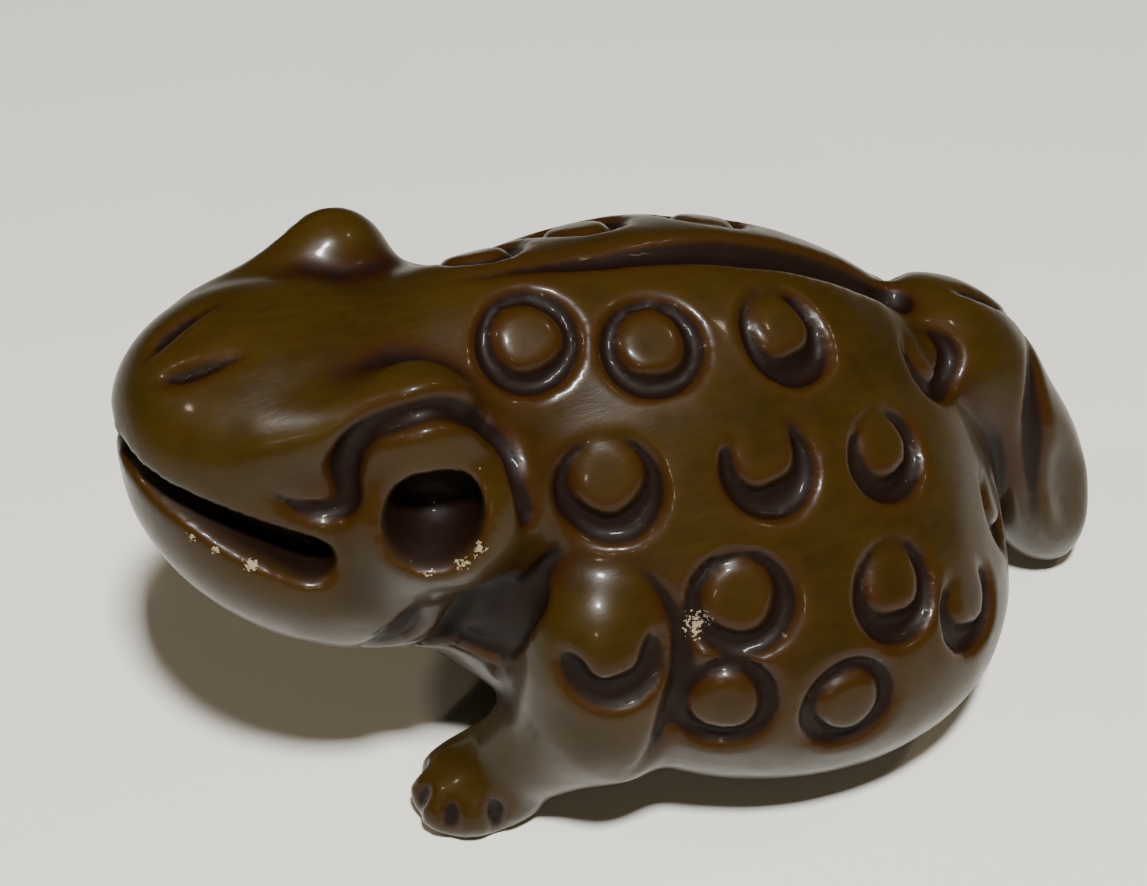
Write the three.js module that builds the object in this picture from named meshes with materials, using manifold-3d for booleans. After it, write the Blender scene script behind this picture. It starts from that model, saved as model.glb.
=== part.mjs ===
// Money toad: a three-legged toad carved from one block of dark, lacquered wood.
// It faces -Y, its left side is +X, and it rests on its flat belly and three feet at Z = 0.
// The form is a smooth union of rounded lobes, and the carving is cut into it with gouge strokes.

import * as THREE from "three";
import { mergeVertices } from "three/addons/utils/BufferGeometryUtils.js";
import Module from "manifold-3d";

const wasm = await Module();
wasm.setup();

// Driving dimensions, in millimetres.
const LENGTH = 80; // from the upper lip to the back of the hind leg
const WART_DIAMETER = 8.3; // outer edge of a ring groove
const WART_DISC = 4.6; // the round boss that a ring leaves standing
const WART_DEPTH = 1.2; // a ring groove at its deepest
const EYE_BORE = 7; // drilled socket that once held an inlay
const EYE_BORE_DEPTH = 4.5;
const EYE_FOLD_WIDTH = 2.3; // groove from under the muzzle, up and over the eye bulge
const EYE_FOLD_DEPTH = 1;
const MOUTH_GAPE = 3.4; // height of the mouth slot at its corners
const MOUTH_DEPTH = 4;
const NOSTRIL_WIDTH = 1.5;
const NOSTRIL_DEPTH = 0.8;
const SPINE_WIDTH = 3.4; // channel along the back at its widest
const SPINE_DEPTH = 1.2;
const CREASE_WIDTH = 2.4; // crease that sets the shoulder off from the flank
const CREASE_DEPTH = 0.9;
const TOE_SLIT_WIDTH = 1.2;
const TOE_SLIT_DEPTH = 1.4;

// Resolution of the faceted surface: finer round the head and the legs than along the trunk.
const FINE_CELL = 3;
const TRUNK_CELL = 4.1;
const TRUNK_FRONT = -0.13; // where the trunk's coarser cells start and end, as shares of LENGTH
const TRUNK_REAR = 0.27;
const WART_STEPS = 11;

// From here on, the pose and the proportions are shares of LENGTH.
const share = (millimetres) => millimetres / LENGTH;

// A lobe is an ellipsoid, tipped by pitch about X and turned by yaw about Z, in degrees.
// It is kept as a function that gives the signed distance to its skin, negative inside.
function lobe([cx, cy, cz], [rx, ry, rz], pitch = 0, yaw = 0) {
  const [cp, sp] = [Math.cos(pitch * THREE.MathUtils.DEG2RAD), Math.sin(pitch * THREE.MathUtils.DEG2RAD)];
  const [ca, sa] = [Math.cos(yaw * THREE.MathUtils.DEG2RAD), Math.sin(yaw * THREE.MathUtils.DEG2RAD)];
  return (x, y, z) => {
    const u = (x - cx) * ca + (y - cy) * sa;
    const turned = -(x - cx) * sa + (y - cy) * ca;
    const v = turned * cp + (z - cz) * sp;
    const w = -turned * sp + (z - cz) * cp;
    const near = Math.hypot(u / rx, v / ry, w / rz);
    const slope = Math.hypot(u / rx ** 2, v / ry ** 2, w / rz ** 2) + 1e-9;
    return (near * (near - 1)) / slope;
  };
}

// A limb is a round bar whose radius runs from one end's value to the other's.
function limb(start, end, startRadius, endRadius) {
  const a = new THREE.Vector3(...start);
  const axis = new THREE.Vector3(...end).sub(a);
  const p = new THREE.Vector3();
  return (x, y, z) => {
    p.set(x, y, z).sub(a);
    const t = THREE.MathUtils.clamp(p.dot(axis) / axis.lengthSq(), 0, 1);
    return p.addScaledVector(axis, -t).length() - THREE.MathUtils.lerp(startRadius, endRadius, t);
  };
}

// Smooth union of two distances, which fills the crease between them over the given width.
function blend(a, b, width) {
  const t = THREE.MathUtils.clamp(0.5 + (0.5 * (b - a)) / width, 0, 1);
  return THREE.MathUtils.lerp(b, a, t) - width * t * (1 - t);
}

// Smooth removal of the second distance from the first.
const scoop = (a, b, width) => -blend(-a, b, width);

const torso = lobe([0, 0.034, 0.229], [0.247, 0.334, 0.247], -18);
const ridge = lobe([0, -0.035, 0.298], [0.147, 0.284, 0.201], -15);
const haunch = lobe([0.137, 0.084, 0.156], [0.188, 0.243, 0.156], -12);
const nape = lobe([0, -0.172, 0.426], [0.092, 0.137, 0.101]);
const skull = lobe([0, -0.273, 0.408], [0.133, 0.183, 0.11], -10);
const snout = lobe([0, -0.385, 0.47], [0.114, 0.114, 0.073], 8);
const jaw = lobe([0, -0.31, 0.322], [0.167, 0.203, 0.125], -30);
const cheek = lobe([0.128, -0.25, 0.396], [0.078, 0.092, 0.081], -20);
const eyeMound = lobe([0.12, -0.259, 0.473], [0.051, 0.057, 0.064], -6);
const brow = limb([0.086, -0.396, 0.499], [0.117, -0.268, 0.504], 0.024, 0.036);
const shoulder = lobe([0.199, -0.121, 0.213], [0.08, 0.08, 0.12], 10);
const arm = limb([0.197, -0.126, 0.151], [0.151, -0.195, 0.055], 0.073, 0.048);
const FOOT = [0.142, -0.227, 0.027];
const FOOT_RADII = [0.057, 0.073, 0.041];
const foot = lobe(FOOT, FOOT_RADII, 0, 10);
const thigh = lobe([0, 0.322, 0.279], [0.092, 0.11, 0.082], -35);
const shin = lobe([0.032, 0.418, 0.142], [0.082, 0.064, 0.16], 20);
const shinHollow = lobe([0.135, 0.455, 0.16], [0.05, 0.055, 0.13], 20);

// Signed distance to the toad before it is carved. Left and right mirror each other.
function form(x, y, z) {
  const m = Math.abs(x);
  const back = blend(torso(x, y, z), ridge(x, y, z), 0.073);
  const body = blend(blend(back, haunch(m, y, z), 0.092), nape(x, y, z), 0.046);
  const muzzle = blend(blend(skull(x, y, z), snout(x, y, z), 0.055), jaw(x, y, z), 0.046);
  const eyes = blend(eyeMound(m, y, z), brow(m, y, z), 0.023);
  const head = blend(blend(muzzle, cheek(m, y, z), 0.032), eyes, 0.023);
  const frontLeg = blend(blend(shoulder(m, y, z), arm(m, y, z), 0.037), foot(m, y, z), 0.027);
  const hindLeg = scoop(blend(thigh(x, y, z), shin(m, y, z), 0.037), shinHollow(m, y, z), 0.012);
  return blend(blend(blend(body, head, 0.041), frontLeg, 0.018), hindLeg, 0.018);
}

// Outward direction of the skin near a point.
function outward(p) {
  const step = 0.002;
  return new THREE.Vector3(
    form(p.x + step, p.y, p.z) - form(p.x - step, p.y, p.z),
    form(p.x, p.y + step, p.z) - form(p.x, p.y - step, p.z),
    form(p.x, p.y, p.z + step) - form(p.x, p.y, p.z - step),
  ).normalize();
}

// Moves a point that lies near the skin onto it, by no more than the given reach.
function ontoSkin(p, reach = Infinity) {
  const start = p.clone();
  for (let round = 0; round < 6; round += 1) {
    p.addScaledVector(outward(p), -form(p.x, p.y, p.z));
  }
  const moved = p.clone().sub(start);
  return p.copy(start).add(moved.clampLength(0, reach));
}

// A closed surface as a solid, in millimetres, with its faces turned outward.
function solidOf(geometry) {
  const bare = geometry.clone();
  bare.deleteAttribute("normal");
  bare.deleteAttribute("uv");
  const merged = mergeVertices(bare, 1e-4);
  return new wasm.Manifold(
    new wasm.Mesh({
      numProp: 3,
      vertProperties: merged.attributes.position.array,
      triVerts: new Uint32Array(merged.index.array),
    }),
  );
}

// A geometry in millimetres from points in shares of LENGTH and faces of three corners.
function geometryOf(points, faces) {
  const doubled = faces.reduce((sum, [a, b, c]) => {
    return sum + points[a].dot(new THREE.Vector3().crossVectors(points[b], points[c]));
  }, 0);
  const turned = doubled < 0 ? faces.map(([a, b, c]) => [a, c, b]) : faces;
  const geometry = new THREE.BufferGeometry();
  geometry.setAttribute("position", new THREE.Float32BufferAttribute(points.flatMap((p) => p.toArray()), 3));
  geometry.setIndex(turned.flat());
  return geometry.scale(LENGTH, LENGTH, LENGTH);
}

// Where the corners of a grid square lie in and out of the form by turns, two folds of the skin
// would touch along an edge, so the outer corner nearest to the skin is taken in.
function settlePinches(distance, strides) {
  const pairs = [[0, 1], [1, 2], [0, 2]].map(([a, b]) => [strides[a], strides[b]]);
  let pinched = true;
  while (pinched) {
    pinched = false;
    for (let at = 0; at < distance.length - strides[2] - strides[1]; at += 1) {
      for (const [a, b] of pairs) {
        const square = [at, at + a, at + a + b, at + b];
        const [p, q, r, s] = square.map((corner) => distance[corner] < 0);
        if (p !== r || q !== s || p === q) continue;
        const [one, other] = p ? [square[1], square[3]] : [square[0], square[2]];
        distance[distance[one] < distance[other] ? one : other] = -1e-9;
        pinched = true;
      }
    }
  }
}

// Grid lines along one axis, with a spacing that may change along the way.
function gridLines(low, high, spacing) {
  const lines = [low];
  while (lines.at(-1) < high) {
    lines.push(lines.at(-1) + spacing(lines.at(-1)));
  }
  return lines;
}

// The uncarved form as facets: one point in each cell that the skin passes through,
// and one four-sided face across each edge of the grid that the skin crosses.
function formGeometry() {
  const fine = share(FINE_CELL);
  const spacing = (y) => (y > TRUNK_FRONT && y < TRUNK_REAR ? share(TRUNK_CELL) : fine);
  const across = gridLines(0, 0.38, () => fine);
  const lines = [
    [...across.slice(1).map((x) => -x).reverse(), ...across],
    gridLines(-0.56, 0.56, spacing),
    gridLines(-0.1, 0.64, () => fine),
  ];
  const count = lines.map((line) => line.length);
  const strides = [1, count[0], count[0] * count[1]];
  const distance = new Float64Array(count[0] * count[1] * count[2]);
  const index = (i, j, k) => i * strides[0] + j * strides[1] + k * strides[2];
  for (let k = 0; k < count[2]; k += 1) {
    for (let j = 0; j < count[1]; j += 1) {
      for (let i = 0; i < count[0]; i += 1) {
        distance[index(i, j, k)] = form(lines[0][i], lines[1][j], lines[2][k]);
      }
    }
  }
  settlePinches(distance, strides);
  const points = [];
  const pointOf = new Map();
  const cellPoint = (i, j, k) => {
    const key = index(i, j, k);
    if (!pointOf.has(key)) {
      const centre = [i, j, k].map((at, n) => (lines[n][at] + lines[n][at + 1]) / 2);
      pointOf.set(key, points.length);
      points.push(ontoSkin(new THREE.Vector3(...centre), 0.8 * fine));
    }
    return pointOf.get(key);
  };
  const faces = [];
  const axes = [[1, 0, 0], [0, 1, 0], [0, 0, 1]];
  for (let k = 1; k < count[2] - 1; k += 1) {
    for (let j = 1; j < count[1] - 1; j += 1) {
      for (let i = 1; i < count[0] - 1; i += 1) {
        axes.forEach((axis, n) => {
          const here = distance[index(i, j, k)];
          const there = distance[index(i + axis[0], j + axis[1], k + axis[2])];
          if (here < 0 === there < 0) return;
          const [b, c] = [axes[(n + 1) % 3], axes[(n + 2) % 3]];
          const around = [[0, 0], [1, 0], [1, 1], [0, 1]].map(([p, q]) => {
            return cellPoint(i - p * b[0] - q * c[0], j - p * b[1] - q * c[1], k - p * b[2] - q * c[2]);
          });
          if (there < 0) around.reverse();
          const [p0, p1, p2, p3] = around;
          const across = points[p0].distanceTo(points[p2]) <= points[p1].distanceTo(points[p3]);
          faces.push(...(across ? [[p0, p1, p2], [p0, p2, p3]] : [[p1, p2, p3], [p1, p3, p0]]));
        });
      }
    }
  }
  return geometryOf(points, faces);
}

// A gouge stroke: a bar that follows the skin and is cut out of it. A station gives a guide point
// close to the skin, and the groove's width and depth there. A closed stroke meets its own start.
// The groove is a V, or has a flat floor of the given share of its width.
function stroke(stations, { closed = false, floor = 0 } = {}) {
  const skin = stations.map(({ guide }) => ontoSkin(guide.clone()));
  const count = stations.length;
  const points = [];
  const corners = floor > 0 ? 4 : 3;
  stations.forEach(({ width, depth }, i) => {
    const before = skin[closed ? (i + count - 1) % count : Math.max(i - 1, 0)];
    const after = skin[closed ? (i + 1) % count : Math.min(i + 1, count - 1)];
    const up = outward(skin[i]);
    const across = new THREE.Vector3().crossVectors(after.clone().sub(before), up).normalize();
    const lift = 0.35 * width + 0.004;
    const flare = 1 + lift / (2 * depth + width);
    const bottom = floor > 0 ? [[floor / 2, -depth], [-floor / 2, -depth]] : [[0, -depth]];
    [[0.5 * flare, lift], ...bottom, [-0.5 * flare, lift]].forEach(([side, rise]) => {
      points.push(skin[i].clone().addScaledVector(across, side * width).addScaledVector(up, rise));
    });
  });
  const faces = [];
  for (let i = 0; i < (closed ? count : count - 1); i += 1) {
    const [start, end] = [corners * i, corners * ((i + 1) % count)];
    for (let j = 0; j < corners; j += 1) {
      const next = (j + 1) % corners;
      faces.push([start + j, end + j, start + next], [start + next, end + j, end + next]);
    }
  }
  if (!closed) {
    const last = corners * (count - 1);
    for (let j = 1; j < corners - 1; j += 1) {
      faces.push([0, j, j + 1], [last, last + j + 1, last + j]);
    }
  }
  return geometryOf(points, faces);
}

// Stations along a smooth curve through a few guide points. The groove's full width and depth are
// scaled along the curve by a profile that runs from 0 to 1 as the share of the way is passed.
function along(guides, steps, width, depth, profile) {
  const curve = new THREE.CatmullRomCurve3(guides.map((g) => new THREE.Vector3(...g)));
  return Array.from({ length: steps + 1 }, (_, i) => {
    const scale = profile(i / steps);
    return { guide: curve.getPoint(i / steps), width: share(width) * scale, depth: share(depth) * scale };
  });
}

// Profiles: a leaf is pointed at both ends, and a slot keeps its size up to short rounded ends.
const leaf = (t) => 0.25 + 0.75 * Math.sin(Math.PI * t);
const slot = (t) => 0.45 + 0.55 * Math.min(1, 8 * t, 8 * (1 - t));

// Warts stand in rows along the flank. Each is given by its place along the body, its angle from
// straight up round the body's axis, and how far its disc sits uphill in the ring: 1 is at the rim.
const BODY_AXIS_HEIGHT = 0.2;
const WARTS = [
  [-0.141, 13, 0.15], [-0.03, 19, 0.25], [0.102, 21, 0.5], [0.268, 27, 0.6],
  [-0.103, 41, 0.4], [0.044, 45, 0.6], [0.171, 50, 0.5],
  [-0.014, 69, 0.3], [0.143, 76, 0.45], [0.23, 88, 0.5],
  [-0.042, 88, 0.12], [0.073, 92, 0.15], [0.313, 83, 0.5],
  [-0.139, 74, 0.75],
];

// Centre of a wart on the skin, found by going out from the body's axis.
function wartCentre(place, angle) {
  const way = new THREE.Vector3(
    Math.sin(angle * THREE.MathUtils.DEG2RAD),
    0,
    Math.cos(angle * THREE.MathUtils.DEG2RAD),
  );
  const p = new THREE.Vector3(0, place, BODY_AXIS_HEIGHT);
  while (form(p.x, p.y, p.z) < 0) p.addScaledVector(way, 0.002);
  return ontoSkin(p);
}

// The ring groove around one wart. Where the disc sits toward the spine, the groove is widest and
// deepest on the side that faces down the flank.
function wartGroove(centre, lift) {
  const outer = share(WART_DIAMETER) / 2;
  const inner = share(WART_DISC) / 2;
  const shift = lift * (outer - inner);
  const up = outward(centre);
  const uphill = new THREE.Vector3(-Math.sign(centre.x) * 0.6, 0, 1);
  uphill.addScaledVector(up, -uphill.dot(up)).normalize();
  const across = new THREE.Vector3().crossVectors(up, uphill);
  return Array.from({ length: WART_STEPS }, (_, i) => {
    const turn = (2 * Math.PI * i) / WART_STEPS;
    const edge = shift * Math.cos(turn) + Math.sqrt(inner ** 2 - (shift * Math.sin(turn)) ** 2);
    const middle = (outer + edge) / 2;
    const guide = centre.clone();
    guide.addScaledVector(uphill, middle * Math.cos(turn)).addScaledVector(across, middle * Math.sin(turn));
    const width = outer - edge;
    return { guide, width, depth: share(WART_DEPTH) * Math.sqrt(width / (outer - inner + shift)) };
  });
}

// The fold around the left eye runs from under the muzzle's corner, up over the bulge and down behind it.
const EYE_FOLD = [
  [0.118, -0.403, 0.458], [0.133, -0.358, 0.431], [0.138, -0.337, 0.437], [0.13, -0.333, 0.46],
  [0.133, -0.326, 0.49], [0.138, -0.312, 0.516], [0.141, -0.25, 0.532], [0.141, -0.222, 0.513],
  [0.13, -0.198, 0.472], [0.167, -0.186, 0.431], [0.181, -0.183, 0.403],
];
const EYE_SIDEWAYS = new THREE.Vector3(0.89, -0.45, 0).normalize();

// The drilled eye socket, a plain bore across the bulge.
function eyeSocket(side) {
  const radius = EYE_BORE / 2;
  const bore = new THREE.CylinderGeometry(radius, 0.8 * radius, 2 * EYE_BORE_DEPTH, 20);
  const axis = new THREE.Vector3(side * EYE_SIDEWAYS.x, EYE_SIDEWAYS.y, EYE_SIDEWAYS.z);
  const mouth = ontoSkin(new THREE.Vector3(side * 0.197, -0.281, 0.43)).multiplyScalar(LENGTH);
  bore.applyQuaternion(new THREE.Quaternion().setFromUnitVectors(new THREE.Vector3(0, 1, 0), axis));
  return bore.translate(mouth.x, mouth.y, mouth.z);
}

// The mouth slot runs round the head from corner to corner, just over the lower jaw.
function mouth() {
  const half = [
    [0.146, -0.375, 0.386], [0.118, -0.419, 0.407], [0.085, -0.457, 0.427], [0.045, -0.484, 0.44],
  ];
  const mirrored = half.map(([x, y, z]) => [-x, y, z]).reverse();
  const gape = (t) => slot(t) * (0.55 + 0.45 * Math.abs(2 * t - 1));
  return along([...half, [0, -0.498, 0.446], ...mirrored], 20, MOUTH_GAPE, MOUTH_DEPTH, gape);
}

// Slits between the toes of a front foot, fanned round its front.
function toeSlits(side) {
  return [-32, 8, 50].map((turn) => {
    const angle = turn * THREE.MathUtils.DEG2RAD;
    const guides = [0.25, 0.65, 1].map((rise) => {
      const out = Math.sin((rise * Math.PI) / 2);
      return [
        side * (FOOT[0] + FOOT_RADII[0] * Math.sin(angle) * out),
        FOOT[1] - FOOT_RADII[1] * Math.cos(angle) * out,
        FOOT[2] + FOOT_RADII[2] * Math.cos((rise * Math.PI) / 2) - (rise === 1 ? 0.03 : 0),
      ];
    });
    return along(guides, 5, TOE_SLIT_WIDTH, TOE_SLIT_DEPTH, (t) => Math.min(1, 0.4 + 1.2 * t));
  });
}

// Everything that is carved or drilled out of the form.
function cuts() {
  const strokes = [
    stroke(mouth(), { floor: 0.6 }),
    stroke(along([[0, -0.19, 0.52], [0, 0.02, 0.5], [0, 0.17, 0.45], [0, 0.262, 0.37]], 12,
      SPINE_WIDTH, SPINE_DEPTH, (t) => Math.min(1, 0.2 + 1.8 * t)), { floor: 0.4 }),
    stroke(along([[0, 0.33, 0.36], [0, 0.38, 0.33], [0, 0.42, 0.28]], 6,
      TOE_SLIT_WIDTH, TOE_SLIT_DEPTH, leaf)),
  ];
  for (const side of [1, -1]) {
    const nostril = [[0.012, -0.466, 0.513], [0.03, -0.434, 0.53], [0.038, -0.382, 0.542]];
    const shoulderCrease = [[0.238, -0.074, 0.305], [0.274, -0.08, 0.232], [0.265, -0.13, 0.13]];
    const mirror = ([x, y, z]) => [side * x, y, z];
    strokes.push(stroke(along(nostril.map(mirror), 4, NOSTRIL_WIDTH, NOSTRIL_DEPTH, leaf)));
    strokes.push(stroke(along(EYE_FOLD.map(mirror), 13, EYE_FOLD_WIDTH, EYE_FOLD_DEPTH, slot)));
    strokes.push(eyeSocket(side));
    strokes.push(stroke(along(shoulderCrease.map(mirror), 4, CREASE_WIDTH, CREASE_DEPTH, leaf)));
    strokes.push(...toeSlits(side).map((stations) => stroke(stations)));
    for (const [place, angle, lift] of WARTS) {
      strokes.push(stroke(wartGroove(wartCentre(place, side * angle), lift), { closed: true }));
    }
  }
  return strokes;
}

// The table side is sawn flat, so the belly and the three feet lie in one plane.
function underside() {
  const slab = new THREE.BoxGeometry(LENGTH, 2 * LENGTH, LENGTH);
  return slab.translate(0, 0, -LENGTH / 2);
}

function carvedToad() {
  let solid = solidOf(formGeometry()).subtract(solidOf(underside()));
  for (const cut of cuts()) {
    solid = solid.subtract(solidOf(cut));
  }
  const { vertProperties, triVerts } = solid.getMesh();
  const geometry = new THREE.BufferGeometry();
  geometry.setAttribute("position", new THREE.BufferAttribute(vertProperties, 3));
  geometry.setIndex(new THREE.BufferAttribute(triVerts, 1));
  geometry.computeVertexNormals();
  return geometry;
}

const lacqueredWood = new THREE.MeshStandardMaterial({
  color: 0x4a3418,
  roughness: 0.35,
  metalness: 0,
});

const toad = new THREE.Mesh(carvedToad(), lacqueredWood);
toad.name = "toad";

const figurine = new THREE.Group();
figurine.add(toad);

export default figurine;
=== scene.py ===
"""A three-legged money toad, carved from one block of wood, stained dark and lacquered.

Everything is in metres in the part's own frame: -Y out of the mouth, +X to the toad's left, +Z up.
The form is built from rounded lobes, remeshed to one skin, settled on a smooth union of the lobes and
then carved stroke by stroke. Places and proportions are shares of the toad's length.
"""

import math

import bmesh
import bpy
import numpy as np
from mathutils import Matrix, Vector, noise


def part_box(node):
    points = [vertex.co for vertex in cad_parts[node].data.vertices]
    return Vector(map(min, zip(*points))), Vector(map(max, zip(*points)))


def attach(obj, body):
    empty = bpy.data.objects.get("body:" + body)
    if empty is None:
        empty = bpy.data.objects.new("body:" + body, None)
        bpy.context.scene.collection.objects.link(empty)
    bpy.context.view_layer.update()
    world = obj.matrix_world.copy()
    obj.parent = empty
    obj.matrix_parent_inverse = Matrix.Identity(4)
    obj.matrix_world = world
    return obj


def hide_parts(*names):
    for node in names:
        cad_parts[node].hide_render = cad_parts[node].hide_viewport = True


bl_info = {
    "name": "Carved Money Toad",
    "version": (1, 0, 0),
    "blender": (4, 5, 0),
    "location": "View3D > Sidebar > Toad",
    "description": "Models a carved, lacquered wooden toad and its studio stage",
    "category": "Object",
}

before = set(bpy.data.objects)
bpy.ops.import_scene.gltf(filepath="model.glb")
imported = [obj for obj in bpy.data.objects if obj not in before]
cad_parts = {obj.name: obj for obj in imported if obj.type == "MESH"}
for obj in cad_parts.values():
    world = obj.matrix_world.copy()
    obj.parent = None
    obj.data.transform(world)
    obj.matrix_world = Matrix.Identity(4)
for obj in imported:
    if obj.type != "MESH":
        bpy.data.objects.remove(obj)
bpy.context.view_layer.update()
NODE = "toad"
BODY = "root"

# The photograph's frame, and where the toad's aiming point lands in it, in pixels.
IMAGE_SIZE = (1147, 886)
AIM_PIXEL = (590, 492)

# Camera: aiming point and distance in shares of the length, angles in degrees, lens and sensor in
# millimetres, and the nearest that it sees in metres.
CAMERA_AIM = (0, -0.053, 0.229)
CAMERA_DISTANCE = 2.494
CAMERA_AZIMUTH = 67.5
CAMERA_ELEVATION = 43.0
CAMERA_LENS = 80
CAMERA_SENSOR = 36
NEAREST_SEEN = 0.01

# Stage: half the floor's side in lengths, the lamps' and the room's tints, and the power of the small lamps
# as shares of the key light's.
FLOOR_REACH = 20
WHITE_LIGHT = (1, 1, 1)
WARM_LIGHT = (1, 0.84, 0.62)
ROOM_TINT = (1, 0.84, 0.64)
FRONT_SHARE = 0.065
REAR_SHARE = 0.055

# Lobes: centre, radii, pitch about X and yaw about Z in degrees. Paired ones have a mirrored twin.
LOBES = {
    "torso": ((0, 0.034, 0.229), (0.247, 0.334, 0.247), -18, 0),
    "ridge": ((0, -0.035, 0.298), (0.147, 0.284, 0.201), -15, 0),
    "haunch": ((0.137, 0.084, 0.156), (0.188, 0.243, 0.156), -12, 0),
    "nape": ((0, -0.172, 0.426), (0.092, 0.137, 0.101), 0, 0),
    "skull": ((0, -0.273, 0.408), (0.133, 0.183, 0.11), -10, 0),
    "snout": ((0, -0.385, 0.47), (0.114, 0.114, 0.073), 8, 0),
    "jaw": ((0, -0.31, 0.322), (0.167, 0.203, 0.125), -30, 0),
    "cheek": ((0.128, -0.25, 0.396), (0.078, 0.092, 0.081), -20, 0),
    "eye_mound": ((0.12, -0.259, 0.473), (0.051, 0.057, 0.064), -6, 0),
    "shoulder": ((0.199, -0.121, 0.213), (0.08, 0.08, 0.12), 10, 0),
    "foot": ((0.142, -0.227, 0.027), (0.057, 0.073, 0.041), 0, 10),
    "thigh": ((0, 0.322, 0.279), (0.092, 0.11, 0.082), -35, 0),
    "shin": ((0.032, 0.418, 0.142), (0.082, 0.064, 0.16), 20, 0),
}
HOLLOW = ((0.135, 0.455, 0.16), (0.05, 0.055, 0.13), 20, 0)
PAIRED = ("haunch", "cheek", "eye_mound", "shoulder", "foot", "shin")

# Bars: two ends and the radius at each. Both have a mirrored twin. Each is first a row of spheres, in steps.
BARS = {
    "brow": ((0.09, -0.384, 0.487), (0.118, -0.266, 0.504), 0.021, 0.036),
    "arm": ((0.197, -0.126, 0.151), (0.151, -0.195, 0.055), 0.073, 0.048),
}
BAR_STEPS = 6

# Widths over which the forms melt together, each named after the one that is added.
BLENDS = {
    "ridge": 0.073, "haunch": 0.092, "nape": 0.046, "snout": 0.055, "jaw": 0.046, "brow": 0.023,
    "cheek": 0.032, "eyes": 0.023, "head": 0.041, "arm": 0.037, "foot": 0.027, "front_leg": 0.018,
    "shin": 0.037, "hollow": 0.012, "hind_leg": 0.018,
}

# Warts: place along the body, angle from straight up, size, how far the boss sits uphill of the middle,
# and how far the groove opens at its top.
BODY_AXIS_HEIGHT = 0.2
WARTS = (
    (-0.141, 13, 1.0, 0.15, 0.0), (-0.03, 19, 1.0, 0.25, 0.0), (0.102, 21, 1.0, 0.5, 0.0),
    (0.268, 27, 0.85, 0.6, 0.4), (-0.103, 41, 1.02, 0.4, 0.35), (0.044, 45, 1.0, 0.6, 0.55),
    (0.171, 50, 0.95, 0.5, 0.2), (-0.014, 69, 1.05, 0.3, 0.0), (0.143, 76, 1.0, 0.45, 0.2),
    (0.23, 88, 0.95, 0.5, 0.5), (-0.042, 88, 1.02, 0.12, 0.0), (0.073, 92, 1.0, 0.15, 0.0),
    (0.313, 83, 0.85, 0.5, 0.4), (-0.139, 74, 1.02, 0.75, 0.85),
)

# Ring grooves: how wide the walls by the rim and by the boss are, how far a wart reaches, how far its
# uphill leans to the toad's middle, the chatter of the gouge and the rounding of the boss.
# The hand is uneven: a wart wanders along the body and turns a little, and its rim and boss aren't round.
RIM_WALL = 0.0065
BOSS_WALL = 0.0075
WART_REACH = 0.09
UPHILL_LEAN = 0.6
CHATTER = 0.12
CHATTER_CUTS = 21
CHATTER_REACH = 0.012
BOSS_ROUNDING = 0.0012
WART_WANDER = 0.004
WART_TURN = 0.12
RIM_WAVER = 0.03
BOSS_WAVER = 0.04

# Eye sockets: drilling direction, middle of the opening, and as shares of the bore's radius the softness
# of the wall and how much the floor rises at the wall; the last is how far from the opening it cuts.
EYE_AXIS = Vector((0.89, -0.45, 0)).normalized()
EYE_OPENING = (0.197, -0.281, 0.43)
EYE_WALL = 0.22
EYE_DISH = 0.25
EYE_REACH = 0.05

# Lip line from the left corner of the mouth to beside the middle, and the middle itself.
LIP_LINE = ((0.146, -0.375, 0.386), (0.118, -0.419, 0.407), (0.085, -0.457, 0.427), (0.045, -0.484, 0.44))
LIP_MIDDLE = (0, -0.498, 0.446)

# Toe slits of a front foot: degrees outward from straight ahead, the points of a slit as shares of the
# foot's radii with how far each drops, and its width and depth in metres.
TOE_TURNS = (-32, 8, 48, 86)
TOE_SLIT = ((0.74, 0), (0.94, 0), (1, 0.03))
TOE_WIDTH = 0.0018
TOE_DEPTH = 0.0015

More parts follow.
